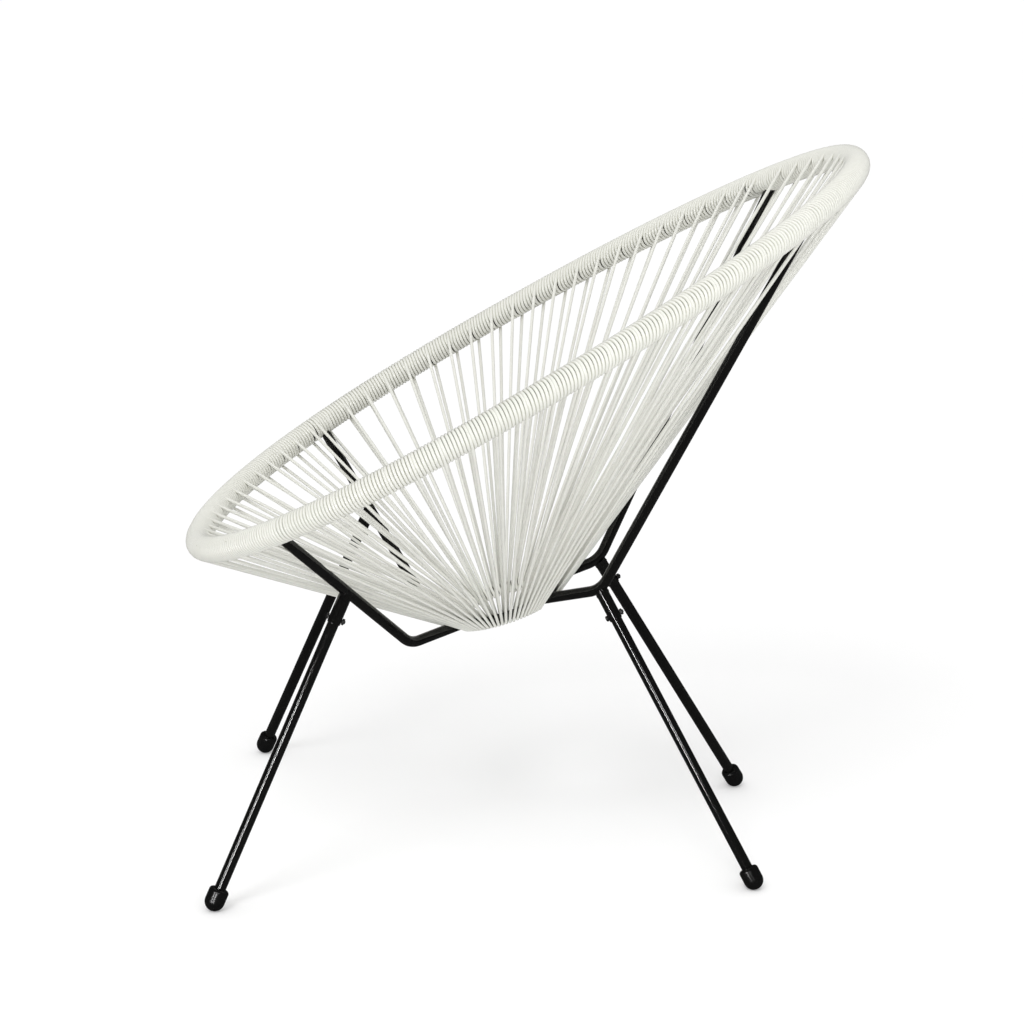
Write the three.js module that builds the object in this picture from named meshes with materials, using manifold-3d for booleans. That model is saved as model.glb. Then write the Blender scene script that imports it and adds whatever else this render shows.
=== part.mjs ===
import * as THREE from "three";
import { mergeVertices } from "three/addons/utils/BufferGeometryUtils.js";
import Module from "manifold-3d";

// A lounge chair for the patio: cord woven between a leaning hoop and a small ring, held by four bent
// bars and carried on four splayed legs that plug into sockets under the bars.
// Millimetres, +Z up, floor at Z = 0, the sitter faces -Y, and X = 0 is the middle plane.

const wasm = await Module();
wasm.setup();

// The hoop is an egg outline, a little fuller than an ellipse, lying in a plane that leans back.
const hoopHalfWidth = 350;
const hoopHalfLength = 474;
const hoopHeight = 648;
const hoopLeanDegrees = 30.8;
const hoopEggShare = -0.094;
const hoopFullnessShare = 0.932;
const hoopTubeDiameter = 22.8;

// The cord: a solid round cord, close wound on the hoop, with a long strand down to the ring and back
// at the end of each group of turns. The strands are stretched, which draws them thinner.
const cordDiameter = 4.4;
const strandThinShare = 0.94;
const sideCells = 21;
const frontCells = 22;
const backCells = 14;
const strandsApart = 2.4;
const strandsPastStation = 8;
const loopsPerPanel = 3;

// The ring under the seat, and the four bars that join it to the hoop.
const ringSlackShare = 1.12;
const ringCentreY = -18;
const ringHeight = 315;
const ringLeanDegrees = 19;
const ringRodDiameter = 12;
const barDiameter = 13.6;
const barBendRadius = 38;
const barBelowHoop = 8;
const frontBarShare = 0.7474;
const rearBarShare = 0.1839;
const frontBarLandsDegrees = 144;
const rearBarLandsDegrees = 37;

// The bars turn inwards at a corner. Each corner is placed from the ring's centre, in the ring's plane
// and then off it.
const frontCornerOut = 110;
const frontCornerForward = 116;
const frontCornerRise = 15;
const rearCornerOut = 70;
const rearCornerBack = 129;
const rearCornerDrop = 3;

// The legs: tubes in welded sockets, each held by a cross bolt, on rubber feet.
const frontSocketShare = 0.493;
const frontFootOut = 278;
const frontFootForward = 361;
const rearFootOut = 180;
const rearFootBack = 302;
const legDiameter = 14.2;
const legWall = 1.2;
const socketWall = 0.9;
const socketLength = 42;
const legBelowBar = 4;
const boltFromSocketEnd = 6;
const boltDiameter = 4;
const boltHeadDiameter = 7.4;
const boltHeadHeight = 3;
const boltEndPastNut = 1.2;
const nutAcrossFlats = 7;
const nutHeight = 3.2;
const capDiameter = 25;
const capLength = 29;
const capEdgeRadius = 4;
const capGripDepth = 17;
const capContactDiameter = 7;

// Clearance between pieces that touch, and how far a cutting tool runs past its work.
const fitGap = 0.3;
const overrun = 5;

// Facets: sides round a section, and steps along a bend.
const hoopSides = 8;
const rodSides = 8;
const strandSides = 5;
const legSides = 12;
const bendSteps = 6;
const capEdgeSteps = 3;
const capBallSteps = 5;
const lineDivisions = 1440;

const steelBlack = { color: 0x1c1c1a, roughness: 0.25, metalness: 0.6 };
const rubberBlack = { color: 0x161616, roughness: 0.45, metalness: 0 };
const zincBlack = { color: 0x232321, roughness: 0.35, metalness: 0.8 };
const cordWhite = { color: 0xe8e7e0, roughness: 0.4, metalness: 0 };

const radians = THREE.MathUtils.degToRad;
const hoopTubeRadius = hoopTubeDiameter / 2;
const strandRadius = (cordDiameter * strandThinShare) / 2;
const barRadius = barDiameter / 2;
const ringRodRadius = ringRodDiameter / 2;
const legRadius = legDiameter / 2;

const part = new THREE.Group();

// Adds a node to a group, by name and finish.
function addPiece(group, name, geometry, finish) {
  const mesh = new THREE.Mesh(geometry, new THREE.MeshStandardMaterial(finish));
  mesh.name = name;
  group.add(mesh);
}

// A solid from a closed geometry, and back.
function toSolid(geometry) {
  const bare = geometry.clone();
  bare.deleteAttribute("normal");
  bare.deleteAttribute("uv");
  const merged = mergeVertices(bare);
  return new wasm.Manifold(new wasm.Mesh({
    numProp: 3,
    vertProperties: merged.attributes.position.array,
    triVerts: new Uint32Array(merged.index.array),
  }));
}

function toGeometry(solid) {
  const mesh = solid.getMesh();
  const geometry = new THREE.BufferGeometry();
  geometry.setAttribute("position", new THREE.BufferAttribute(mesh.vertProperties, 3));
  geometry.setIndex(new THREE.BufferAttribute(mesh.triVerts, 1));
  geometry.computeVertexNormals();
  return geometry;
}

// A regular outline, with its first corner on the -X side.
function outline(radius, sides) {
  return Array.from({ length: sides }, (_, i) => {
    const angle = (2 * Math.PI * i) / sides;
    return new THREE.Vector2(-radius * Math.cos(angle), -radius * Math.sin(angle));
  });
}

function roundSection(radius, sides) {
  return new THREE.Shape(outline(radius, sides));
}

function pipeSection(outerRadius, innerRadius, sides) {
  const section = roundSection(outerRadius, sides);
  section.holes.push(new THREE.Path(outline(innerRadius, sides)));
  return section;
}

// Stops along a path of points: at each one the section's two directions, mitred at a bend so that a
// tube keeps its thickness. All the sections keep one side turned towards `up`.
function stopsAlong(points, up, closed = false) {
  const count = points.length;
  return points.map((point, i) => {
    const before = closed || i > 0 ? points[(i + count - 1) % count] : null;
    const after = closed || i < count - 1 ? points[(i + 1) % count] : null;
    const arriving = point.clone().sub(before ?? point).normalize();
    const leaving = (after ?? point).clone().sub(point).normalize();
    const tangent = arriving.clone().add(leaving).normalize();
    const normal = up.clone().addScaledVector(tangent, -up.dot(tangent)).normalize();
    const binormal = new THREE.Vector3().crossVectors(tangent, normal);
    if (before && after) {
      const across = leaving.clone().sub(arriving);
      if (across.length() > Number.EPSILON) {
        across.normalize();
        const stretch = 1 / tangent.dot(arriving) - 1;
        normal.addScaledVector(across, normal.dot(across) * stretch);
        binormal.addScaledVector(across, binormal.dot(across) * stretch);
      }
    }
    return { point, tangent, normal, binormal };
  });
}

// A curve through given stops, which a section is swept along without any resampling.
class Route extends THREE.Curve {
  constructor(stops) {
    super();
    this.stops = stops;
  }
  getPointAt(share) {
    return this.stops[Math.round(share * this.stops.length)].point.clone();
  }
  getSpacedPoints() {
    return this.stops.map((stop) => stop.point);
  }
  computeFrenetFrames() {
    return {
      tangents: this.stops.map((stop) => stop.tangent),
      normals: this.stops.map((stop) => stop.normal),
      binormals: this.stops.map((stop) => stop.binormal),
    };
  }
}

function sweep(section, stops) {
  return new THREE.ExtrudeGeometry(section, { steps: stops.length - 1, extrudePath: new Route(stops) });
}

function loopTube(stops, radius, sides) {
  return new THREE.TubeGeometry(new Route(stops), stops.length, radius, sides, true);
}

// The hoop's centre line. Share 0 is the middle of the back, and the +X side comes first.
const hoopAlong = new THREE.Vector3(0, Math.cos(radians(hoopLeanDegrees)), Math.sin(radians(hoopLeanDegrees)));
const hoopUp = new THREE.Vector3(0, -hoopAlong.z, hoopAlong.y);
const hoopCentre = new THREE.Vector3(0, 0, hoopHeight);

class HoopLine extends THREE.Curve {
  getPoint(share) {
    const angle = 2 * Math.PI * share;
    const full = (value) => Math.sign(value) * Math.abs(value) ** hoopFullnessShare;
    const out = hoopHalfWidth * full(Math.sin(angle)) * (1 + hoopEggShare * Math.cos(angle));
    const along = hoopHalfLength * full(Math.cos(angle));
    return hoopCentre.clone().addScaledVector(hoopAlong, along).setX(out);
  }
}

const hoopLine = new HoopLine();
hoopLine.arcLengthDivisions = lineDivisions;

// Each station has a pair of strands that leaves the hoop. Stations are evenly spaced from bar to bar, in
// order from the rear bar at +X, by way of the front, to the back.
const spans = [
  { from: rearBarShare / 2, to: frontBarShare / 2, cells: sideCells },
  { from: frontBarShare / 2, to: 1 - frontBarShare / 2, cells: frontCells },
  { from: 1 - frontBarShare / 2, to: 1 - rearBarShare / 2, cells: sideCells },
  { from: 1 - rearBarShare / 2, to: 1 + rearBarShare / 2, cells: backCells },
];
const stations = [];
for (const { from, to, cells } of spans) {
  for (let i = 0; i < cells; i++) {
    stations.push({ share: from + ((to - from) * i) / cells, atBar: i === 0 });
  }
}
const stationCount = stations.length;
const backStation = stationCount - backCells / 2;
const stationShare = (i) => stations.at(i % stationCount).share + Math.floor(i / stationCount);

// The hoop's corners lie halfway between stations, so each panel of cord ends on a corner.
const cornerShare = (i) => (stationShare(i) + stationShare(i + 1)) / 2;
const hoopStops = stopsAlong(stations.map((_, i) => hoopLine.getPointAt(cornerShare(i) % 1)), hoopUp, true);

// A station's place on the straight run of hoop between two corners.
function onHoop(i) {
  const start = hoopStops.at(i - 1).point;
  const end = hoopStops[i].point;
  const runShare = (stationShare(i) - cornerShare(i - 1)) / (cornerShare(i) - cornerShare(i - 1));
  return { place: start.clone().lerp(end, runShare), along: end.clone().sub(start).normalize() };
}

// The ring. Every loop of cord has its own place on the ring's inner side, so the count of loops sets
// how large the ring is. Angle 0 is its back, and +X comes first. A loop turns three equal corners.
const loopTurn = Math.PI / 3;
const loopReach = ringRodRadius + 2 * fitGap + strandRadius;
const loopCornerReach = loopReach / Math.cos(loopTurn / 2);
const ringRadius = (stationCount * 2 * strandRadius * ringSlackShare) / (2 * Math.PI) + loopCornerReach;
const ringAlong = new THREE.Vector3(0, Math.cos(radians(ringLeanDegrees)), Math.sin(radians(ringLeanDegrees)));
const ringUp = new THREE.Vector3(0, -ringAlong.z, ringAlong.y);
const ringCentre = new THREE.Vector3(0, ringCentreY, ringHeight);

function onRing(angle) {
  const out = new THREE.Vector3(Math.sin(angle), 0, 0).addScaledVector(ringAlong, Math.cos(angle));
  return { place: ringCentre.clone().addScaledVector(out, ringRadius), out };
}

// Where the bars land, as angles round the ring. The strands on the outside of the seat give way to
// them: between two landings they are squeezed together evenly.
const landings = [rearBarLandsDegrees, frontBarLandsDegrees, -frontBarLandsDegrees, -rearBarLandsDegrees].map(radians);
const giveWay = Math.asin((barRadius + strandRadius + fitGap) / ringRadius);

const turnsLeft = (angle) => angle - 2 * Math.PI * Math.floor(angle / (2 * Math.PI));

// How far a strand is pushed round the ring, at an angle on it.
function pushAt(angle) {
  let push = 0;
  landings.forEach((landing, i) => {
    const wide = turnsLeft(landings[(i + 1) % landings.length] - landing);
    const past = turnsLeft(angle - landing);
    if (past < wide) push = giveWay * (1 - (2 * past) / wide);
  });
  return push;
}

// A loop of cord: down from the hoop's inner side, round the ring from its top and its inner side to its
// underside, and up to the hoop's outer side, a little further round the hoop.
const wrapReach = hoopTubeRadius + fitGap + cordDiameter / 2;

function besideRing(angle, turn) {
  const { place, out } = onRing(angle);
  return place
    .addScaledVector(out, loopCornerReach * Math.cos(turn))
    .addScaledVector(ringUp, loopCornerReach * Math.sin(turn));
}

function cordLoop(i) {
  const { place, along } = onHoop(i);
  const { atBar } = stations[i];
  const apart = atBar ? barDiameter + 2 * strandRadius + 2 * fitGap : strandsApart;
  const past = atBar ? 0 : strandsPastStation;
  const startAngle = (2 * Math.PI * (i - backStation)) / stationCount;
  const push = pushAt(startAngle);
  const halves = [1, -1].map((face) => {
    const angle = startAngle + (push * (1 - face)) / 2;
    const centre = place.clone().addScaledVector(along, past - (face * apart) / 2);
    const down = onRing(angle).place.sub(centre);
    down.addScaledVector(along, -down.dot(along)).normalize();
    const inwards = new THREE.Vector3().crossVectors(along, down);
    inwards.multiplyScalar(Math.sign(inwards.dot(hoopUp)) * face);
    const leaves = centre.addScaledVector(inwards, wrapReach);
    const { place: ringPoint, out } = onRing(angle);
    const rise = leaves.clone().sub(ringPoint);
    const climb = Math.atan2(rise.dot(ringUp), rise.dot(out));
    return { leaves, climb, turns: besideRing(angle, climb + face * (Math.PI - loopTurn)) };
  });
  const [inner, outer] = halves;
  const middle = besideRing(startAngle + push / 2, (inner.climb + outer.climb) / 2 + Math.PI);
  const { out } = onRing(startAngle);
  const stops = stopsAlong(
    [inner.leaves, inner.turns, middle, outer.turns, outer.leaves],
    new THREE.Vector3().crossVectors(out, ringUp),
  );
  return toSolid(sweep(roundSection(strandRadius, strandSides), stops));
}

// A bar: from under the hoop, straight to its corner, and inwards to the ring.
function bentRoute(start, corner, end) {
  const arriving = corner.clone().sub(start).normalize();
  const leaving = end.clone().sub(corner).normalize();
  const turn = arriving.angleTo(leaving);
  const setBack = barBendRadius * Math.tan(turn / 2);
  const bendStart = corner.clone().addScaledVector(arriving, -setBack);
  const inwards = leaving.clone().addScaledVector(arriving, -leaving.dot(arriving)).normalize();
  const points = [start];
  for (let i = 0; i <= bendSteps; i++) {
    const angle = (turn * i) / bendSteps;
    points.push(bendStart.clone()
      .addScaledVector(arriving, barBendRadius * Math.sin(angle))
      .addScaledVector(inwards, barBendRadius * (1 - Math.cos(angle))));
  }
  points.push(end);
  return { points, up: new THREE.Vector3().crossVectors(arriving, leaving).normalize() };
}

function ringPlace(out, along, rise) {
  return ringCentre.clone().addScaledVector(ringAlong, along).addScaledVector(ringUp, rise).setX(out);
}

const barPlans = [];
stations.forEach((plan, i) => {
  if (!plan.atBar) return;
  const top = onHoop(i).place.addScaledVector(hoopUp, -barBelowHoop);
  const side = Math.sign(top.x);
  const front = top.y < hoopCentre.y;
  const corner = front
    ? ringPlace(side * frontCornerOut, -frontCornerForward, frontCornerRise)
    : ringPlace(side * rearCornerOut, rearCornerBack, -rearCornerDrop);
  const lands = side * radians(front ? frontBarLandsDegrees : rearBarLandsDegrees);
  barPlans.push({
    name: `${front ? "front" : "rear"}_${side > 0 ? "left" : "right"}`,
    front,
    side,
    top,
    corner,
    end: onRing(lands).place,
  });
});

// Bars are cut back where they are welded to the hoop and to the ring, and the cord is wound clear of them.
const hoopRoom = toSolid(loopTube(hoopStops, hoopTubeRadius + fitGap, hoopSides));
const ringSteps = Math.ceil(stationCount / 2);
const ringStops = stopsAlong(
  Array.from({ length: ringSteps }, (_, i) => onRing((2 * Math.PI * i) / ringSteps).place),
  ringUp,
  true,
);
const ringRoom = toSolid(loopTube(ringStops, ringRodRadius + fitGap, rodSides));

for (const plan of barPlans) {
  const { points, up } = bentRoute(plan.top, plan.corner, plan.end);
  const bar = toSolid(sweep(roundSection(barRadius, rodSides), stopsAlong(points, up)));
  addPiece(part, `${plan.name}_bar`, toGeometry(bar.subtract(hoopRoom).subtract(ringRoom)), steelBlack);
  const start = points[0].clone().sub(points[1]).normalize().multiplyScalar(fitGap).add(points[0]);
  const roomStops = stopsAlong([start, ...points.slice(1)], up);
  plan.room = toSolid(sweep(roundSection(barRadius + fitGap, rodSides), roomStops));
}

addPiece(part, "hoop_tube", loopTube(hoopStops, hoopTubeRadius, hoopSides), steelBlack);
addPiece(part, "bottom_ring", loopTube(ringStops, ringRodRadius, rodSides), steelBlack);

// The woven cord, in panels. A panel is the winding round its stretch of hoop, with its strands.
const windingSection = pipeSection(hoopTubeRadius + fitGap + cordDiameter, hoopTubeRadius + fitGap, hoopSides);
const panelCount = Math.ceil(stationCount / loopsPerPanel);
for (let panel = 0; panel < panelCount; panel++) {
  const first = panel * loopsPerPanel;
  const last = Math.min(first + loopsPerPanel, stationCount) - 1;
  const stops = [];
  for (let i = first - 1; i <= last; i++) stops.push({ ...hoopStops.at(i) });
  const trim = (stop, way) => {
    stop.point = stop.point.clone().addScaledVector(stop.tangent, (way * fitGap) / 2);
  };
  trim(stops[0], 1);
  trim(stops[stops.length - 1], -1);
  let solid = toSolid(sweep(windingSection, stops));
  for (let i = first; i <= last; i++) solid = solid.add(cordLoop(i));
  for (const plan of barPlans) solid = solid.subtract(plan.room);
  addPiece(part, `cord_panel_${String(panel + 1).padStart(2, "0")}`, toGeometry(solid), cordWhite);
}

// A leg's own frame: from its place on the bar down to the foot. Local +Z runs down the leg, and local
// +X, square to it, is the way the cross bolt goes.
function legFrame(top, foot) {
  const down = foot.clone().sub(top).normalize();
  const bolt = new THREE.Vector3(1, 0, 0).cross(down).normalize();
  const across = new THREE.Vector3().crossVectors(down, bolt);
  return new THREE.Matrix4().makeBasis(bolt, across, down).setPosition(top);
}

function straight(section, from, to) {
  return new THREE.ExtrudeGeometry(section, { depth: to - from, bevelEnabled: false }).translate(0, 0, from);
}

const socketBoreRadius = legRadius + fitGap;
const socketRadius = socketBoreRadius + socketWall;
const boltDrop = socketLength - boltFromSocketEnd;
const boltHole = straight(roundSection(boltDiameter / 2 + fitGap, legSides), -socketRadius - overrun, socketRadius + overrun)
  .rotateY(Math.PI / 2)
  .translate(0, 0, boltDrop);
const headSeat = socketRadius + fitGap;

// The rounded end of a foot is a ball about a point on the leg's line, cut flat where it meets the floor.
const capRadius = capDiameter / 2;
const ballHeight = Math.sqrt(capRadius ** 2 - (capContactDiameter / 2) ** 2);

function capProfile(ballAt) {
  const topAt = ballAt + capRadius - capLength;
  const floorAt = topAt + capGripDepth;
  const bore = legRadius + fitGap;
  const points = [new THREE.Vector2(0, floorAt), new THREE.Vector2(bore, floorAt), new THREE.Vector2(bore, topAt)];
  for (let i = 0; i <= capEdgeSteps; i++) {
    const angle = (Math.PI / 2) * (i / capEdgeSteps);
    points.push(new THREE.Vector2(
      capRadius - capEdgeRadius * (1 - Math.sin(angle)),
      topAt + capEdgeRadius * (1 - Math.cos(angle)),
    ));
  }
  for (let i = 0; i <= capBallSteps; i++) {
    const angle = (Math.PI / 2) * (i / capBallSteps);
    points.push(new THREE.Vector2(capRadius * Math.cos(angle), ballAt + capRadius * Math.sin(angle)));
  }
  points[points.length - 1].x = 0;
  return points;
}

for (const plan of barPlans) {
  const top = plan.front ? plan.top.clone().lerp(plan.corner, frontSocketShare) : plan.corner;
  const foot = new THREE.Vector3(
    plan.side * (plan.front ? frontFootOut : rearFootOut),
    plan.front ? -frontFootForward : rearFootBack,
    ballHeight,
  );
  const frame = legFrame(top, foot);
  const toLocal = frame.clone().invert();
  const legAssembly = new THREE.Group();
  legAssembly.applyMatrix4(frame);
  part.add(legAssembly);
  const barRoom = toSolid(toGeometry(plan.room).applyMatrix4(toLocal));
  const holes = toSolid(boltHole);

  const socket = toSolid(straight(pipeSection(socketRadius, socketBoreRadius, legSides), 0, socketLength));
  addPiece(legAssembly, `${plan.name}_socket`, toGeometry(socket.subtract(barRoom).subtract(holes)), steelBlack);

  const ballAt = top.distanceTo(foot);
  const legEnd = ballAt + capRadius - capLength + capGripDepth - fitGap;
  const legStart = barRadius + legBelowBar;
  const leg = toSolid(straight(pipeSection(legRadius, legRadius - legWall, legSides), legStart, legEnd));
  addPiece(legAssembly, `${plan.name}_leg`, toGeometry(leg.subtract(holes)), steelBlack);

  const shank = boltDiameter / 2;
  const boltEnd = headSeat + nutHeight + boltEndPastNut;
  const boltProfile = [
    [0, -headSeat - boltHeadHeight],
    [boltHeadDiameter / 3, -headSeat - boltHeadHeight],
    [boltHeadDiameter / 2, -headSeat - boltHeadHeight / 2],
    [boltHeadDiameter / 2, -headSeat],
    [shank, -headSeat],
    [shank, boltEnd],
    [0, boltEnd],
  ].map(([x, y]) => new THREE.Vector2(x, y));
  const bolt = new THREE.LatheGeometry(boltProfile, legSides).rotateZ(-Math.PI / 2).translate(0, 0, boltDrop);
  addPiece(legAssembly, `${plan.name}_cross_bolt`, bolt, zincBlack);

  const nutSection = roundSection(nutAcrossFlats / 2 / Math.cos(Math.PI / 6), 6);
  nutSection.holes.push(new THREE.Path(outline(shank + fitGap, legSides)));
  const nut = straight(nutSection, headSeat, headSeat + nutHeight).rotateY(Math.PI / 2).translate(0, 0, boltDrop);
  addPiece(legAssembly, `${plan.name}_nut`, nut, zincBlack);

  const cap = toSolid(new THREE.LatheGeometry(capProfile(ballAt), legSides).rotateX(Math.PI / 2));
  const ground = new THREE.BoxGeometry(4 * capDiameter, 4 * capDiameter, capDiameter)
    .translate(foot.x, foot.y, -capDiameter / 2)
    .applyMatrix4(toLocal);
  addPiece(legAssembly, `${plan.name}_foot_cap`, toGeometry(cap.subtract(toSolid(ground))), rubberBlack);
}

export default part;
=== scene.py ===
import bpy
import numpy as np
from mathutils import Matrix, Vector


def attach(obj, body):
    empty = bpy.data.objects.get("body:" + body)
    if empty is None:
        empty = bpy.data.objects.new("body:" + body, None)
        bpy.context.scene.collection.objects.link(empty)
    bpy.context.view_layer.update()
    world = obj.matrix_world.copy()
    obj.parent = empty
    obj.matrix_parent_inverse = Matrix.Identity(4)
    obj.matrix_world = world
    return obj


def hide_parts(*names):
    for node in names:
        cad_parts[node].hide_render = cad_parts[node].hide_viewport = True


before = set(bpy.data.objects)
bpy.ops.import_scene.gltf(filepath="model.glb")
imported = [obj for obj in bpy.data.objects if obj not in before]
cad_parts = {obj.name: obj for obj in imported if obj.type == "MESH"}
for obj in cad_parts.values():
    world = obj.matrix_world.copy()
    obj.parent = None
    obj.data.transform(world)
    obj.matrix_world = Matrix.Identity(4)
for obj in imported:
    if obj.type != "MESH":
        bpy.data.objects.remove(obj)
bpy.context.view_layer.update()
print("frame:", len(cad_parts), "nodes")

# Sizes are in millimetres until a piece is made, and +Z is up. The sitter faces -Y.
metre = 0.001


def unit(v):
    return v / np.linalg.norm(v, axis=-1, keepdims=True)


def leaning(degrees):  # the long axis of a plane that leans back, and its normal
    a = np.radians(degrees)
    return np.array([0, np.cos(a), np.sin(a)]), np.array([0, -np.sin(a), np.cos(a)])


def smoothStep(t):
    t = np.clip(t, 0, 1)
    return t * t * (3 - 2 * t)


# Meshes from arrays

sharpDegrees = 50  # above the 40 between the cord's nine faces
nearZero = 0.001  # the radius of a turned piece's end, so that it closes to a point


def makePiece(name, rings, material, replaced, closedAlong=False):
    # A grid of points, ring by ring, is skinned with quads that face out, and open ends are filled.
    # The map's U runs round a ring, and V along the piece in metres.
    count, sides = rings.shape[:2]
    points = rings.reshape(-1, 3) * metre
    spans = count if closedAlong else count - 1
    i, j = np.meshgrid(np.arange(spans), np.arange(sides), indexing="ij")
    nextI = (i + 1) % count
    nextJ = (j + 1) % sides
    quads = np.stack([i * sides + j, i * sides + nextJ, nextI * sides + nextJ, nextI * sides + j], -1)
    quads = quads.reshape(-1, 4)
    step = np.linalg.norm(np.diff(rings.mean(1), axis=0, append=rings[:1].mean(1)), axis=1) * metre
    reach = np.concatenate([[0], np.cumsum(step)])
    u = np.stack([j, j + 1, j + 1, j], -1).reshape(-1) / sides
    v = np.stack([reach[i], reach[i], reach[i + 1], reach[i + 1]], -1).reshape(-1)
    corners = quads.reshape(-1)
    starts = np.arange(len(quads)) * 4
    totals = np.full(len(quads), 4)
    if not closedAlong:
        first = np.arange(sides)[::-1]
        last = np.arange(sides) + (count - 1) * sides
        starts = np.concatenate([starts, [len(corners), len(corners) + sides]])
        totals = np.concatenate([totals, [sides, sides]])
        corners = np.concatenate([corners, first, last])
        u = np.concatenate([u, np.zeros(2 * sides)])
        v = np.concatenate([v, np.zeros(sides), np.full(sides, reach[count - 1])])
    mesh = bpy.data.meshes.new(name)
    mesh.vertices.add(len(points))
    mesh.vertices.foreach_set("co", points.astype(np.float32).ravel())
    mesh.loops.add(len(corners))
    mesh.loops.foreach_set("vertex_index", corners.astype(np.int32))
    mesh.polygons.add(len(starts))
    mesh.polygons.foreach_set("loop_start", starts.astype(np.int32))
    mesh.polygons.foreach_set("loop_total", totals.astype(np.int32))
    flat = np.zeros(len(starts), dtype=bool)
    if not closedAlong:
        flat[-2:] = True
    mesh.polygons.foreach_set("use_smooth", ~flat)
    mapping = mesh.uv_layers.new(name="run")
    mapping.data.foreach_set("uv", np.stack([u, v], -1).astype(np.float32).ravel())
    mesh.update(calc_edges=True)
    mesh.validate()
    mesh.set_sharp_from_angle(angle=np.radians(sharpDegrees))
    piece = bpy.data.objects.new(name, mesh)
    bpy.context.collection.objects.link(piece)
    mesh.materials.append(material)
    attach(piece, "root")
    if replaced:
        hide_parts(*replaced)
    return piece


def tubeAlong(path, outward, radius, sides, closed=False):
    # A round section carried along a path: each point of a ring is the path's point plus the radius
    # times (cos v of the outward direction, plus sin v of the sideways one).
    before = np.roll(path, 1, 0)
    after = np.roll(path, -1, 0)
    if not closed:
        before[0] = path[0]
        after[-1] = path[-1]
    along = unit(after - before)
    sideways = unit(np.cross(along, outward))
    up = np.cross(sideways, along)
    v = np.linspace(0, 2 * np.pi, sides, endpoint=False)[None, :, None]
    size = np.broadcast_to(np.asarray(radius, float).reshape(-1, 1, 1), (len(path), 1, 1))
    return path[:, None] + size * (np.cos(v) * up[:, None] + np.sin(v) * sideways[:, None])


def turned(profile, origin, axis, start, sides):
    # A profile of (radius, distance) pairs turned round an axis, from a direction square to it.
    start = unit(start - axis * np.dot(start, axis))
    other = np.cross(axis, start)
    v = np.linspace(0, 2 * np.pi, sides, endpoint=False)[None, :, None]
    profile = np.asarray(profile, float)
    r = profile[:, 0][:, None, None]
    z = profile[:, 1][:, None, None]
    return origin + z * axis + r * (np.cos(v) * start + np.sin(v) * other)


# Materials

finish = {
    "cord": {
        "light": (0.76, 0.76, 0.715), "dark": (0.72, 0.72, 0.67), "rough": (0.17, 0.25),
        "grain": 260, "bump": 0.02, "specular": 0.35,
    },
    "frame": {
        "light": (0.005, 0.005, 0.0045), "dark": (0.003, 0.003, 0.003), "rough": (0.06, 0.09),
        "grain": 420, "bump": 0.001, "specular": 0.4,
    },
    "fastener": {
        "light": (0.018, 0.018, 0.018), "dark": (0.009, 0.009, 0.009), "rough": (0.2, 0.3),
        "grain": 600, "bump": 0.004, "specular": 0.4,
    },
    "foot": {
        "light": (0.005, 0.005, 0.005), "dark": (0.003, 0.003, 0.003), "rough": (0.18, 0.28),
        "grain": 500, "bump": 0.004, "specular": 0.3,
    },
}
mottle = {"fineDetail": 3, "broadDetail": 2, "broadScale": 9, "low": 0.12, "high": 0.4}


def makeGrainGroup():  # a fine mottle that every finish shares, with its own colours and scale
    group = bpy.data.node_groups.new("grain", "ShaderNodeTree")
    sockets = group.interface
    for name, kind in (
        ("Light", "NodeSocketColor"), ("Dark", "NodeSocketColor"), ("Scale", "NodeSocketFloat"),
        ("Smooth", "NodeSocketFloat"), ("Rough", "NodeSocketFloat"),
    ):
        sockets.new_socket(name=name, in_out="INPUT", socket_type=kind)
    for name, kind in (
        ("Color", "NodeSocketColor"), ("Roughness", "NodeSocketFloat"), ("Height", "NodeSocketFloat"),
    ):
        sockets.new_socket(name=name, in_out="OUTPUT", socket_type=kind)
    nodes, links = group.nodes, group.links
    given = nodes.new("NodeGroupInput")
    result = nodes.new("NodeGroupOutput")
    place = nodes.new("ShaderNodeTexCoord")
    fine = nodes.new("ShaderNodeTexNoise")
    broad = nodes.new("ShaderNodeTexNoise")
    fine.inputs["Detail"].default_value = mottle["fineDetail"]
    broad.inputs["Detail"].default_value = mottle["broadDetail"]
    broad.inputs["Scale"].default_value = mottle["broadScale"]
    links.new(place.outputs["Object"], fine.inputs["Vector"])
    links.new(place.outputs["Object"], broad.inputs["Vector"])
    links.new(given.outputs["Scale"], fine.inputs["Scale"])
    both = nodes.new("ShaderNodeMath")
    both.operation = "MULTIPLY"
    links.new(fine.outputs["Fac"], both.inputs[0])
    links.new(broad.outputs["Fac"], both.inputs[1])
    spread = nodes.new("ShaderNodeMapRange")
    spread.inputs["From Min"].default_value = mottle["low"]
    spread.inputs["From Max"].default_value = mottle["high"]
    links.new(both.outputs[0], spread.inputs["Value"])
    tint = nodes.new("ShaderNodeMix")
    tint.data_type = "RGBA"
    links.new(spread.outputs[0], tint.inputs["Factor"])
    links.new(given.outputs["Dark"], tint.inputs["A"])
    links.new(given.outputs["Light"], tint.inputs["B"])
    sheen = nodes.new("ShaderNodeMix")
    links.new(spread.outputs[0], sheen.inputs["Factor"])
    links.new(given.outputs["Rough"], sheen.inputs["A"])
    links.new(given.outputs["Smooth"], sheen.inputs["B"])
    links.new(tint.outputs["Result"], result.inputs["Color"])
    links.new(sheen.outputs["Result"], result.inputs["Roughness"])
    links.new(fine.outputs["Fac"], result.inputs["Height"])
    return group


grainGroup = makeGrainGroup()


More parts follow.
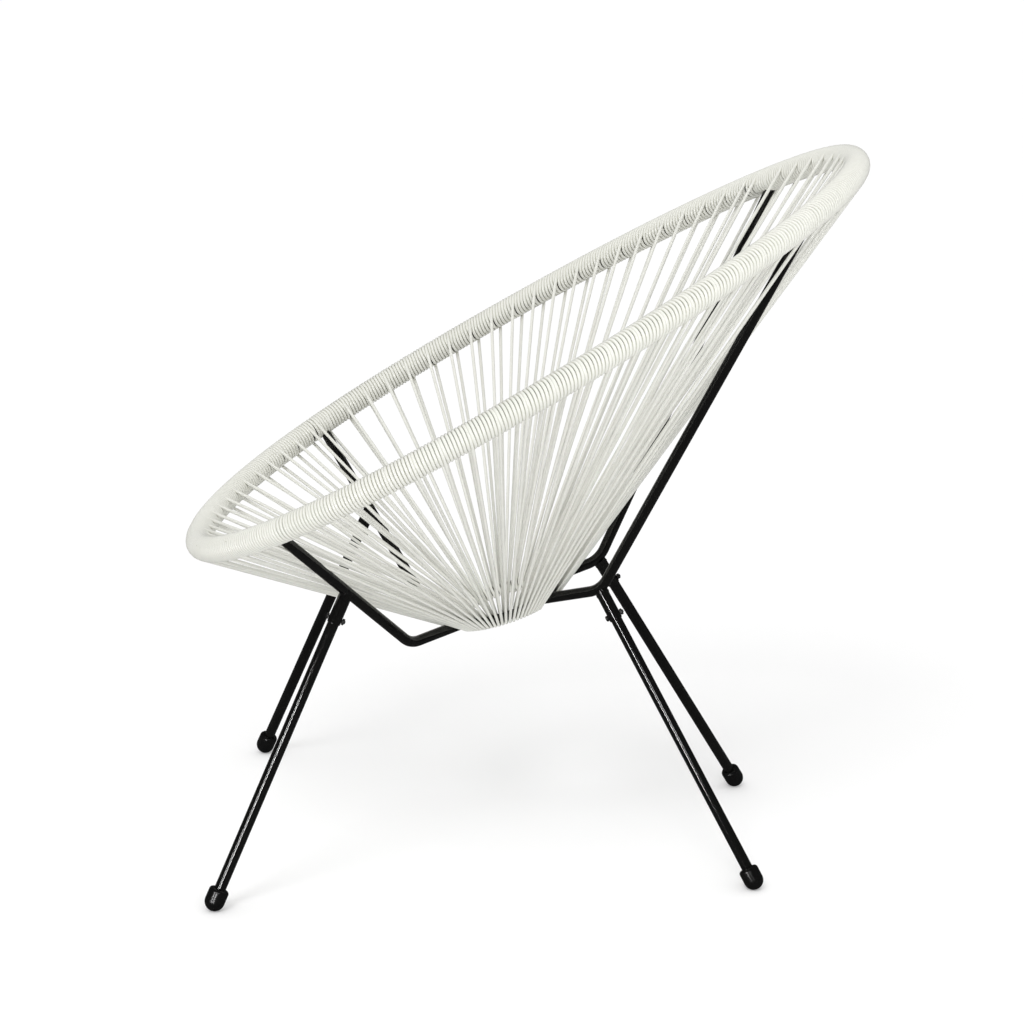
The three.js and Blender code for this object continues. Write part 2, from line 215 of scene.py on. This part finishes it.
def makeFinish(name):
    values = finish[name]
    material = bpy.data.materials.new(name + "Finish")
    material.use_nodes = True
    nodes, links = material.node_tree.nodes, material.node_tree.links
    shader = nodes["Principled BSDF"]
    grain = nodes.new("ShaderNodeGroup")
    grain.node_tree = grainGroup
    grain.inputs["Light"].default_value = (*values["light"], 1)
    grain.inputs["Dark"].default_value = (*values["dark"], 1)
    grain.inputs["Scale"].default_value = values["grain"]
    grain.inputs["Smooth"].default_value = values["rough"][0]
    grain.inputs["Rough"].default_value = values["rough"][1]
    bump = nodes.new("ShaderNodeBump")
    bump.inputs["Strength"].default_value = values["bump"]
    bump.inputs["Distance"].default_value = metre
    links.new(grain.outputs["Color"], shader.inputs["Base Color"])
    links.new(grain.outputs["Roughness"], shader.inputs["Roughness"])
    links.new(grain.outputs["Height"], bump.inputs["Height"])
    links.new(bump.outputs["Normal"], shader.inputs["Normal"])
    shader.inputs["Specular IOR Level"].default_value = values["specular"]
    return material


# Painted shade: where cords lie side by side, an occlusion mask darkens the cord's colour towards a dull
# olive in the grooves between them.
grooveShade = {"color": (0.59, 0.59, 0.50), "reach": 2.2, "closed": 0.2, "open": 0.9, "samples": 6}


def paintGrooveShade(material):
    nodes, links = material.node_tree.nodes, material.node_tree.links
    shader = nodes["Principled BSDF"]
    plain = shader.inputs["Base Color"].links[0].from_socket
    # Painted shade: the more closed in a point is, the more its base colour is blended towards the olive
    # shade colour.
    grooveShadeMask = nodes.new("ShaderNodeAmbientOcclusion")
    grooveShadeMask.samples = grooveShade["samples"]
    grooveShadeMask.inputs["Distance"].default_value = grooveShade["reach"] * metre
    openness = nodes.new("ShaderNodeMapRange")
    openness.inputs["From Min"].default_value = grooveShade["closed"]
    openness.inputs["From Max"].default_value = grooveShade["open"]
    links.new(grooveShadeMask.outputs["AO"], openness.inputs["Value"])
    tint = nodes.new("ShaderNodeMix")
    tint.data_type = "RGBA"
    links.new(openness.outputs["Result"], tint.inputs["Factor"])
    tint.inputs["A"].default_value = (*grooveShade["color"], 1)
    links.new(plain, tint.inputs["B"])
    links.new(tint.outputs["Result"], shader.inputs["Base Color"])


cordFinish = makeFinish("cord")
# The cord's colour carries painted shade in its grooves.
paintGrooveShade(cordFinish)
frameFinish = makeFinish("frame")
fastenerFinish = makeFinish("fastener")
footFinish = makeFinish("foot")
print("finishes made")

# The hoop: an egg outline, fuller than an ellipse, in a plane that leans back

hoop = {
    "halfWidth": 350,
    "halfLength": 474,
    "height": 648,
    "leanDegrees": 30.8,
    "eggShare": -0.094,
    "fullnessShare": 0.932,
    "tubeRadius": 11.4,
    "steps": 312,
    "sides": 24,
    "tableSteps": 14400,
    "slopeStep": 0.004,
}
hoopAlong, hoopUp = leaning(hoop["leanDegrees"])
hoopCentre = np.array([0, 0, hoop["height"]])


def hoopOutline(t):  # out = a sin(t)^p (1 + egg cos(t)), along = b cos(t)^p, with the signs kept
    t = np.asarray(t, float)
    full = lambda v: np.sign(v) * np.abs(v) ** hoop["fullnessShare"]
    out = hoop["halfWidth"] * full(np.sin(t)) * (1 + hoop["eggShare"] * np.cos(t))
    along = hoop["halfLength"] * full(np.cos(t))
    return hoopCentre + along[..., None] * hoopAlong + out[..., None] * np.array([1.0, 0, 0])


tableAngles = np.linspace(0, 2 * np.pi, hoop["tableSteps"] + 1)
tableSteps = np.linalg.norm(np.diff(hoopOutline(tableAngles), axis=0), axis=1)
tableReach = np.concatenate([[0], np.cumsum(tableSteps)])
hoopLength = tableReach[-1]


def onHoop(s):  # a point at a distance round the hoop, with the directions along it and out of it
    turn = np.interp(np.mod(s, hoopLength), tableReach, tableAngles)
    along = unit(hoopOutline(turn + hoop["slopeStep"]) - hoopOutline(turn - hoop["slopeStep"]))
    return hoopOutline(turn), along, np.cross(hoopUp, along)


hoopReach = np.linspace(0, hoopLength, hoop["steps"], endpoint=False)
hoopPath, _, hoopOut = onHoop(hoopReach)
makePiece("hoopTube", tubeAlong(hoopPath, hoopOut, hoop["tubeRadius"], hoop["sides"], True),
          frameFinish, ["hoop_tube"], True)

# The ring under the seat

ring = {
    "centreY": -18,
    "height": 315,
    "leanDegrees": 19,
    "rodRadius": 6,
    "loopRoomShare": 1.12,
    "steps": 120,
    "sides": 20,
}
cord = {
    "diameter": 4.4,
    "thinShare": 0.94,
    "gap": 0.3,
    "woundRadius": 2.24,
    "woundOutside": 16.2,
    "strandRadius": 2.15,
    "loopRadius": 1.95,
    "taperLength": 14,
    "turnPitch": 4.4,
    "facingSpread": 5.1,
    "facingFade": 0.9,
    "strandsApart": 2.4,
    "pastStation": 8,
    "turnSteps": 20,
    "loopSteps": 14,
    "sides": 9,
    "loopsPerPanel": 3,
}
bar = {
    "radius": 6.8,
    "bendRadius": 38,
    "belowHoop": 8,
    "frontShare": 0.7474,
    "rearShare": 0.1839,
    "frontLandsDegrees": 144,
    "rearLandsDegrees": 37,
    "frontCorner": (110, -116, 15),
    "rearCorner": (70, 129, -3),
    "bendSteps": 16,
    "sides": 20,
}
cells = {"side": 21, "front": 22, "back": 14}
stationCount = 2 * cells["side"] + cells["front"] + cells["back"]
thinRadius = cord["diameter"] * cord["thinShare"] / 2
# The CAD's loops go round the rod in turns of 60 degrees, and the ring has room for their corners.
cornerReach = (ring["rodRadius"] + 2 * cord["gap"] + thinRadius) / np.cos(np.pi / 6)
ringRadius = stationCount * 2 * thinRadius * ring["loopRoomShare"] / (2 * np.pi) + cornerReach
ringAlong, ringUp = leaning(ring["leanDegrees"])
ringCentre = np.array([0, ring["centreY"], ring["height"]])


def onRing(angle):  # angle 0 is the ring's back, and +X comes first
    angle = np.asarray(angle, float)[..., None]
    out = np.sin(angle) * np.array([1.0, 0, 0]) + np.cos(angle) * ringAlong
    return ringCentre + ringRadius * out, out


ringAngles = np.linspace(0, 2 * np.pi, ring["steps"], endpoint=False)
ringPath, ringOut = onRing(ringAngles)
makePiece("bottomRing", tubeAlong(ringPath, ringOut, ring["rodRadius"], ring["sides"], True),
          frameFinish, ["bottom_ring"], True)
print("hoop and ring made")

# Bars: from under the hoop to a corner, then inwards to the ring

halfLength = hoopLength / 2
corners = [
    ("rear_left", "RearLeft", bar["rearShare"] * halfLength),
    ("front_left", "FrontLeft", bar["frontShare"] * halfLength),
    ("front_right", "FrontRight", hoopLength - bar["frontShare"] * halfLength),
    ("rear_right", "RearRight", hoopLength - bar["rearShare"] * halfLength),
]


def bentPath(start, corner, end, radius, steps):
    # A straight run, a round bend of the given radius at the corner, and a straight run.
    arriving, leaving = unit(corner - start), unit(end - corner)
    turn = np.arccos(np.dot(arriving, leaving))
    inwards = unit(leaving - arriving * np.dot(leaving, arriving))
    bendStart = corner - arriving * radius * np.tan(turn / 2)
    a = np.linspace(0, turn, steps)[:, None]
    bend = bendStart + radius * (np.sin(a) * arriving + (1 - np.cos(a)) * inwards)
    return np.concatenate([[start], bend, [end]]), np.cross(arriving, leaving)


def cornerPlace(side, out, along, rise):
    return ringCentre + along * ringAlong + rise * ringUp + np.array([side * out, 0, 0])


barPlans = {}
for node, label, reach in corners:
    place, _, _ = onHoop(reach)
    side = np.sign(place[0])
    front = node.startswith("front")
    top = place - bar["belowHoop"] * hoopUp
    corner = cornerPlace(side, *bar["frontCorner" if front else "rearCorner"])
    lands = side * np.radians(bar["frontLandsDegrees" if front else "rearLandsDegrees"])
    end, _ = onRing(lands)
    path, square = bentPath(top, corner, end, bar["bendRadius"], bar["bendSteps"])
    outward = np.broadcast_to(unit(square), path.shape)
    makePiece("bar" + label, tubeAlong(path, outward, bar["radius"], bar["sides"]),
              frameFinish, [node + "_bar"])
    barPlans[node] = {
        "label": label, "side": side, "front": front, "top": top, "corner": corner, "end": end,
    }
print("bars made")

# The woven cord. Each station has a pair of strands: the cord leaves the hoop's inner side, runs down
# to the ring, round it, and back up to the hoop's outer side, where the turns go on.

spans = [
    (bar["rearShare"], bar["frontShare"], cells["side"]),
    (bar["frontShare"], 2 - bar["frontShare"], cells["front"]),
    (2 - bar["frontShare"], 2 - bar["rearShare"], cells["side"]),
    (2 - bar["rearShare"], 2 + bar["rearShare"], cells["back"]),
]
stationReach = np.concatenate([
    np.linspace(start, end, count, endpoint=False) * halfLength for start, end, count in spans
])
barStations = np.cumsum([0] + [count for _, _, count in spans[:-1]])
backStation = stationCount - cells["back"] / 2
landings = np.radians([bar["rearLandsDegrees"], bar["frontLandsDegrees"],
                       -bar["frontLandsDegrees"], -bar["rearLandsDegrees"]])
giveWay = np.arcsin((bar["radius"] + thinRadius + cord["gap"]) / ringRadius)
woundReach = cord["woundOutside"] - cord["woundRadius"]
ringReach = ring["rodRadius"] + cord["strandRadius"]


def pushAt(angle):  # strands are squeezed evenly between two bars that land on the ring
    for i, landing in enumerate(landings):
        wide = (landings[(i + 1) % 4] - landing) % (2 * np.pi)
        past = (angle - landing) % (2 * np.pi)
        if past < wide:
            return giveWay * (1 - 2 * past / wide)
    return 0.0


def stationPlan(i):
    atBar = i % stationCount in barStations
    reach = stationReach[i % stationCount] + hoopLength * (i // stationCount)
    apart = 2 * bar["radius"] + 2 * thinRadius + 2 * cord["gap"] if atBar else cord["strandsApart"]
    past = 0 if atBar else cord["pastStation"]
    angle = 2 * np.pi * (i - backStation) / stationCount
    plan = {"angle": angle, "push": pushAt(angle)}
    for name, face in (("inner", 1), ("outer", -1)):
        s = reach + past - face * apart / 2
        place, along, out = onHoop(s)
        ringPoint, ringOutward = onRing(angle + plan["push"] * (1 - face) / 2)
        run = (ringPoint - place) * face
        square = np.hypot(np.dot(run, out), np.dot(run, hoopUp))
        plan[name] = {
            "s": s,
            "turn": np.arctan2(-np.dot(run, out), np.dot(run, hoopUp)),
            "slope": woundReach * np.dot(run, along) / square,
            "climb": np.arctan2(-np.dot(run, ringUp) * face, -np.dot(run, ringOutward) * face),
        }
    return plan


def woundLine(start, end, phase, spread, fromShare, toShare):
    # Turns from one strand's place to another's, leaning at both ends as the strands do. The phase is
    # 0 to start from an inner strand and pi from an outer one. Where the turns face the ring, there is
    # one fewer between two pairs of strands, so they are spread along the hoop.
    gap = end["s"] - start["s"]
    half = (end["turn"] - start["turn"]) % (2 * np.pi)
    whole = max(round(gap / cord["turnPitch"] - half / (2 * np.pi)), 1)
    total = half + 2 * np.pi * whole
    rate = gap / total
    steps = int((toShare - fromShare) * total / (2 * np.pi) * cord["turnSteps"]) + 1
    t = np.linspace(fromShare, toShare, steps)
    theta = phase + t * np.pi * (2 * whole + 1)
    startTilt = (start["slope"] - rate) * np.cos(phase)
    endTilt = (rate - end["slope"]) * np.cos(phase)
    facing = theta % (2 * np.pi)
    window = smoothStep(np.minimum(facing, np.pi - facing) / cord["facingFade"])
    s = start["s"] + t * gap + (startTilt + t * (endTilt - startTilt)) * np.sin(theta)
    s = s + spread * (t - 0.5) * window
    turn = start["turn"] + t * total
    place, _, out = onHoop(s)
    radial = np.cos(turn)[:, None] * out + np.sin(turn)[:, None] * hoopUp
    return place + woundReach * radial, radial, np.full(steps, cord["woundRadius"])


def stationCord(i):
    before, here, after = stationPlan(i - 1), stationPlan(i), stationPlan(i + 1)
    inner, outer = here["inner"], here["outer"]
    arriving = woundLine(before["outer"], inner, np.pi, cord["facingSpread"], 0.5, 1)
    leaving = woundLine(outer, after["inner"], np.pi, cord["facingSpread"], 0, 0.5)

    # Round the ring, from its top by its inner side to its underside
    t = np.linspace(0, 1, cord["loopSteps"])
    turn = inner["climb"] + np.pi / 2 + t * (np.pi + outer["climb"] - inner["climb"])
    place, out = onRing(here["angle"] + here["push"] * smoothStep(t))
    radial = np.cos(turn)[:, None] * out + np.sin(turn)[:, None] * ringUp
    loop = place + ringReach * radial

    # The cord is stretched thin a little way down each strand, and thinner still round the ring.
    downwards = unit(loop[0] - arriving[0][-1])
    upwards = unit(loop[-1] - leaving[0][0])
    thinned = [
        (arriving[0][-1:] + cord["taperLength"] * downwards, arriving[1][-1:], cord["strandRadius"]),
        (loop, radial, cord["loopRadius"]),
        (leaving[0][:1] + cord["taperLength"] * upwards, leaving[1][:1], cord["strandRadius"]),
    ]
    thinned = [(points, outward, np.full(len(points), radius)) for points, outward, radius in thinned]
    return [np.concatenate(group) for group in zip(arriving, *thinned, leaving)]


panelCount = stationCount // cord["loopsPerPanel"]
for panel in range(panelCount):
    runs = [stationCord(panel * cord["loopsPerPanel"] + i) for i in range(cord["loopsPerPanel"])]
    parts = []
    for k, run in enumerate(runs):
        keep = slice(None) if k == len(runs) - 1 else slice(0, -1)
        parts.append([values[keep] for values in run])
    path, outward, radius = (np.concatenate(group) for group in zip(*parts))
    name = "cordPanel%02d" % (panel + 1)
    makePiece(name, tubeAlong(path, outward, radius, cord["sides"]), cordFinish,
              ["cord_panel_%02d" % (panel + 1)])

# The turns go on over the end of each bar, between the strands on either side of it.
for i, (_, label, _) in zip(barStations, corners):
    plan = stationPlan(i)
    path, outward, radius = woundLine(plan["inner"], plan["outer"], 0, 0, 0, 1)
    rings = tubeAlong(path, outward, radius, cord["sides"])
    makePiece("turnsOverBar" + label, rings, cordFinish, [])
print("cord woven,", panelCount, "panels")

# Legs: a socket welded under each bar, the leg in it, a cross bolt with its nut, and a rounded foot

leg = {
    "frontSocketShare": 0.493,
    "frontFoot": (278, -361),
    "rearFoot": (180, 302),
    "radius": 7.1,
    "socketRadius": 8.3,
    "boreRadius": 7.4,
    "socketLength": 42,
    "socketEdge": 0.5,
    "boreEdge": 0.2,
    "edgeSupport": 0.4,
    "underCap": 2,
    "belowBar": 4,
    "sides": 28,
}
bolt = {
    "fromSocketEnd": 6,
    "radius": 2,
    "headRadius": 3.7,
    "headHeight": 3,
    "headEdge": 1.6,
    "headEdgeSteps": 6,
    "underHead": 0.3,
    "nutAcross": 7,
    "nutHeight": 3.2,
    "nutEdge": 0.3,
    "threadRoom": 0.1,
    "endPastNut": 1.2,
    "endEdge": 0.4,
    "sides": 20,
}
cap = {
    "radius": 12.5,
    "length": 29,
    "edge": 4,
    "edgeSteps": 9,
    "contact": 3.5,
    "lipStart": 0.6,
    "lipEnd": 1.2,
    "ballEndDegrees": 89.9,
    "ballSteps": 22,
    "sides": 40,
}
weld = {"radius": 0.6, "ripple": 0.15, "ripples": 22, "steps": 132, "sides": 10}


def arc(centre, radius, fromDegrees, toDegrees, steps):
    a = np.radians(np.linspace(fromDegrees, toDegrees, steps))
    return np.stack([centre[0] + radius * np.cos(a), centre[1] + radius * np.sin(a)], -1)


def weldBead(name, origin, axis, start, barDirection):
    # A rippled bead on the curve where the socket's wall meets the bar: at each angle it lies on the
    # socket's radius, as far down as the bar's surface reaches.
    start = unit(start - axis * np.dot(start, axis))
    other = np.cross(axis, start)
    a = np.linspace(0, 2 * np.pi, weld["steps"], endpoint=False)[:, None]
    wall = leg["socketRadius"] * (np.cos(a) * start + np.sin(a) * other)
    # The distance to the bar's line, |p|^2 - (p.d)^2 = bar radius^2, is solved for the drop.
    alongBar = np.dot(axis, barDirection)
    cross = wall @ barDirection
    qa = 1 - alongBar**2
    qb = -2 * alongBar * cross
    qc = (wall**2).sum(1) - cross**2 - bar["radius"] ** 2
    drop = (-qb + np.sqrt(np.maximum(qb**2 - 4 * qa * qc, 0))) / (2 * qa)
    path = origin + wall + drop[:, None] * axis
    radius = weld["radius"] + weld["ripple"] * np.sin(weld["ripples"] * a[:, 0])
    rings = tubeAlong(path, unit(wall), radius, weld["sides"], True)
    makePiece(name, rings, frameFinish, [], True)


for node, plan in barPlans.items():
    label, side, front = plan["label"], plan["side"], plan["front"]
    barRun = plan["corner"] - plan["top"]
    top = plan["top"] + barRun * leg["frontSocketShare"] if front else plan["corner"]
    ballHeight = np.sqrt(cap["radius"] ** 2 - cap["contact"] ** 2)
    out, forward = leg["frontFoot"] if front else leg["rearFoot"]
    foot = np.array([side * out, forward, ballHeight])
    down = unit(foot - top)
    boltAxis = unit(np.cross([1.0, 0, 0], down))
    ballAt = np.linalg.norm(foot - top)

    # Rings close to each end keep the long wall's shading straight.
    wall, bore = leg["socketRadius"], leg["boreRadius"]
    end, edge, support = leg["socketLength"], leg["socketEdge"], leg["edgeSupport"]
    halfway = 0.3 * edge
    socket = [(bore, 0), (wall, 0), (wall, support), (wall, end - edge - support)]
    socket += [(wall, end - edge), (wall - halfway, end - halfway), (wall - edge, end)]
    socket += [(bore + leg["boreEdge"], end), (bore, end - leg["boreEdge"])]
    makePiece("socket" + label, turned(socket, top, down, boltAxis, leg["sides"]), frameFinish,
              [node + "_socket"], True)

    legStart = bar["radius"] + leg["belowBar"]
    capTop = ballAt + cap["radius"] - cap["length"]
    legEnd = capTop + leg["underCap"]
    rod = [(nearZero, legStart), (leg["radius"], legStart), (leg["radius"], legEnd), (nearZero, legEnd)]
    makePiece("leg" + label, turned(rod, top, down, boltAxis, leg["sides"]), frameFinish,
              [node + "_leg"])

    barDirection = unit(barRun)
    if not front:
        barDirection = unit(barDirection + unit(plan["end"] - plan["corner"]))
    weldBead("weld" + label, top, down, boltAxis, barDirection)

    crossing = top + down * (leg["socketLength"] - bolt["fromSocketEnd"])
    seat = wall + bolt["underHead"]
    headTop = -seat - bolt["headHeight"]
    head = [(nearZero, headTop)]
    rounding, steps = bolt["headEdge"], bolt["headEdgeSteps"]
    head += arc((bolt["headRadius"] - rounding, headTop + rounding), rounding, -90, 0, steps).tolist()
    head += [(bolt["headRadius"], -seat), (bolt["radius"], -seat)]
    boltEnd = seat + bolt["nutHeight"] + bolt["endPastNut"]
    head += [(bolt["radius"], boltEnd - bolt["endEdge"]), (bolt["radius"] - bolt["endEdge"], boltEnd)]
    head += [(nearZero, boltEnd)]
    rings = turned(head, crossing, boltAxis, down, bolt["sides"])
    makePiece("crossBolt" + label, rings, fastenerFinish, [node + "_cross_bolt"])

    across = bolt["nutAcross"] / 2 / np.cos(np.pi / 6)
    inside = bolt["radius"] + bolt["threadRoom"]
    nutEnd = seat + bolt["nutHeight"]
    nut = [(inside, seat), (across - bolt["nutEdge"], seat), (across, seat + bolt["nutEdge"]),
           (across, nutEnd - bolt["nutEdge"]), (across - bolt["nutEdge"], nutEnd), (inside, nutEnd)]
    rings = turned(nut, crossing, boltAxis, down, 6)
    nutPiece = makePiece("nut" + label, rings, fastenerFinish, [node + "_nut"], True)
    faces = nutPiece.data.polygons
    faces.foreach_set("use_smooth", np.zeros(len(faces), dtype=bool))

    lip, rounding, steps = cap["lipStart"], cap["edge"], cap["edgeSteps"]
    body = [(nearZero, capTop + lip), (leg["radius"] + lip, capTop + lip)]
    body += [(leg["radius"] + cap["lipEnd"], capTop)]
    body += arc((cap["radius"] - rounding, capTop + rounding), rounding, -90, 0, steps).tolist()
    body += arc((0, ballAt), cap["radius"], 0, cap["ballEndDegrees"], cap["ballSteps"]).tolist()
    rings = turned(body, top, down, boltAxis, cap["sides"])
    rings[..., 2] = np.maximum(rings[..., 2], 0)
    makePiece("footCap" + label, rings, footFinish, [node + "_foot_cap"])
print("legs made")

# Floor, lamps and camera

# Each kind of ray meets its own floor and sky: plain light, what the camera sees, and what polished
# parts reflect. The floor that is seen is part shaded and part lit evenly, to a blank of almost white.
stage = {
    "floorHalf": 40,
    "bounce": 0.9,
    "seenDiffuse": 0.8,
    "seenBlank": 0.955,
    "reflected": 0.08,
    "worldLight": 0.86,
    "worldReflected": 0.05,
    "worldSeen": 1.03,
}


def byRay(nodes, links, plain, seen, reflected):
    rays = nodes.new("ShaderNodeLightPath")
    value = plain
    for ray, share in (("Is Camera Ray", seen - plain), ("Is Glossy Ray", reflected - plain)):
        step = nodes.new("ShaderNodeMath")
        step.operation = "MULTIPLY_ADD"
        step.inputs[1].default_value = share
        links.new(rays.outputs[ray], step.inputs[0])
        if value is plain:
            step.inputs[2].default_value = plain
        else:
            links.new(value, step.inputs[2])
        value = step.outputs[0]
    return value


def makeFloor():
    half = stage["floorHalf"]
    mesh = bpy.data.meshes.new("floor")
    corners = [(-half, -half, 0), (half, -half, 0), (half, half, 0), (-half, half, 0)]
    mesh.from_pydata(corners, [], [(0, 1, 2, 3)])
    floor = bpy.data.objects.new("floor", mesh)
    bpy.context.collection.objects.link(floor)
    material = bpy.data.materials.new("floorFinish")
    material.use_nodes = True
    nodes, links = material.node_tree.nodes, material.node_tree.links
    nodes.remove(nodes["Principled BSDF"])
    output = nodes["Material Output"]
    color = byRay(nodes, links, stage["bounce"], stage["seenDiffuse"], stage["reflected"])
    glow = byRay(nodes, links, 0, stage["seenBlank"] - stage["seenDiffuse"], 0)
    shaded = nodes.new("ShaderNodeBsdfDiffuse")
    links.new(color, shaded.inputs["Color"])
    lit = nodes.new("ShaderNodeEmission")
    links.new(glow, lit.inputs["Strength"])
    both = nodes.new("ShaderNodeAddShader")
    links.new(shaded.outputs[0], both.inputs[0])
    links.new(lit.outputs[0], both.inputs[1])
    links.new(both.outputs[0], output.inputs["Surface"])
    mesh.materials.append(material)


def makeWorld():
    world = bpy.data.worlds.new("studio")
    bpy.context.scene.world = world
    world.use_nodes = True
    nodes, links = world.node_tree.nodes, world.node_tree.links
    background = nodes["Background"]
    background.inputs["Color"].default_value = (1, 1, 1, 1)
    strength = byRay(nodes, links, stage["worldLight"], stage["worldSeen"], stage["worldReflected"])
    links.new(strength, background.inputs["Strength"])


def addSoftbox(name, place, aim, width, height, power, shade=True, gloss=True):
    light = bpy.data.lights.new(name, "AREA")
    light.shape = "RECTANGLE"
    light.size = width
    light.size_y = height
    light.energy = power
    lamp = bpy.data.objects.new(name, light)
    lamp.location = place
    lamp.rotation_euler = (Vector(aim) - Vector(place)).to_track_quat("-Z", "Y").to_euler()
    lamp.visible_diffuse = shade
    lamp.visible_glossy = gloss
    lamp.visible_camera = False
    bpy.context.collection.objects.link(lamp)


def addSun(name, towards, spreadDegrees, strength):
    light = bpy.data.lights.new(name, "SUN")
    light.angle = np.radians(spreadDegrees)
    light.energy = strength
    lamp = bpy.data.objects.new(name, light)
    lamp.visible_glossy = False
    lamp.rotation_euler = Vector(towards).to_track_quat("Z", "Y").to_euler()
    bpy.context.collection.objects.link(lamp)


view = {
    "azimuthDegrees": 90.78,
    "elevationDegrees": 14.82,
    "rollDegrees": 0.81,
    "distance": 3251.2,
    "target": (0, -9.33, 435.23),
    "focalPixels": 2540,
    "framePixels": 1024,
    "sensorWidth": 36,
    "clipEnd": 100,
}


def addCamera():
    azimuth = np.radians(view["azimuthDegrees"])
    elevation = np.radians(view["elevationDegrees"])
    roll = np.radians(view["rollDegrees"])
    level = np.array([np.sin(azimuth), -np.cos(azimuth), 0])
    back = level * np.cos(elevation) + np.array([0, 0, np.sin(elevation)])
    right = np.array([np.cos(azimuth), np.sin(azimuth), 0])
    up = np.cross(back, right)
    rolledRight = right * np.cos(roll) + up * np.sin(roll)
    rolledUp = up * np.cos(roll) - right * np.sin(roll)
    data = bpy.data.cameras.new("camera")
    data.sensor_width = view["sensorWidth"]
    data.lens = view["focalPixels"] / view["framePixels"] * view["sensorWidth"]
    data.clip_end = view["clipEnd"]
    camera = bpy.data.objects.new("camera", data)
    place = (np.array(view["target"]) + view["distance"] * back) * metre
    turn = Matrix((rolledRight, rolledUp, back)).transposed().to_4x4()
    camera.matrix_world = Matrix.Translation(Vector(place)) @ turn
    bpy.context.collection.objects.link(camera)
    bpy.context.scene.camera = camera


makeFloor()
makeWorld()
addSun("keySun", towards=(0.75, -0.35, 1.0), spreadDegrees=22, strength=0.85)
addSoftbox("fillSoftbox", (1.9, 0.4, 1.2), (0, 0, 0.5), width=1.4, height=1.4, power=10.5, gloss=False)
# These three only light the gloss: the lines down the legs, and the cord's ribs.
addSoftbox("tallStrip", (2.3, -1.78, 0.52), (0, 0, 0.52), width=0.08, height=0.95, power=22, shade=False)
addSoftbox("lowStrip", (2.4, -0.8, 0.3), (0, 0, 0.3), width=0.08, height=0.6, power=22, shade=False)
addSoftbox("frontBox", (3.4, 0.25, 1.1), (0, 0, 0.45), width=0.25, height=0.25, power=8, shade=False)
addCamera()
bpy.context.scene.view_settings.view_transform = "Standard"
print("stage set")
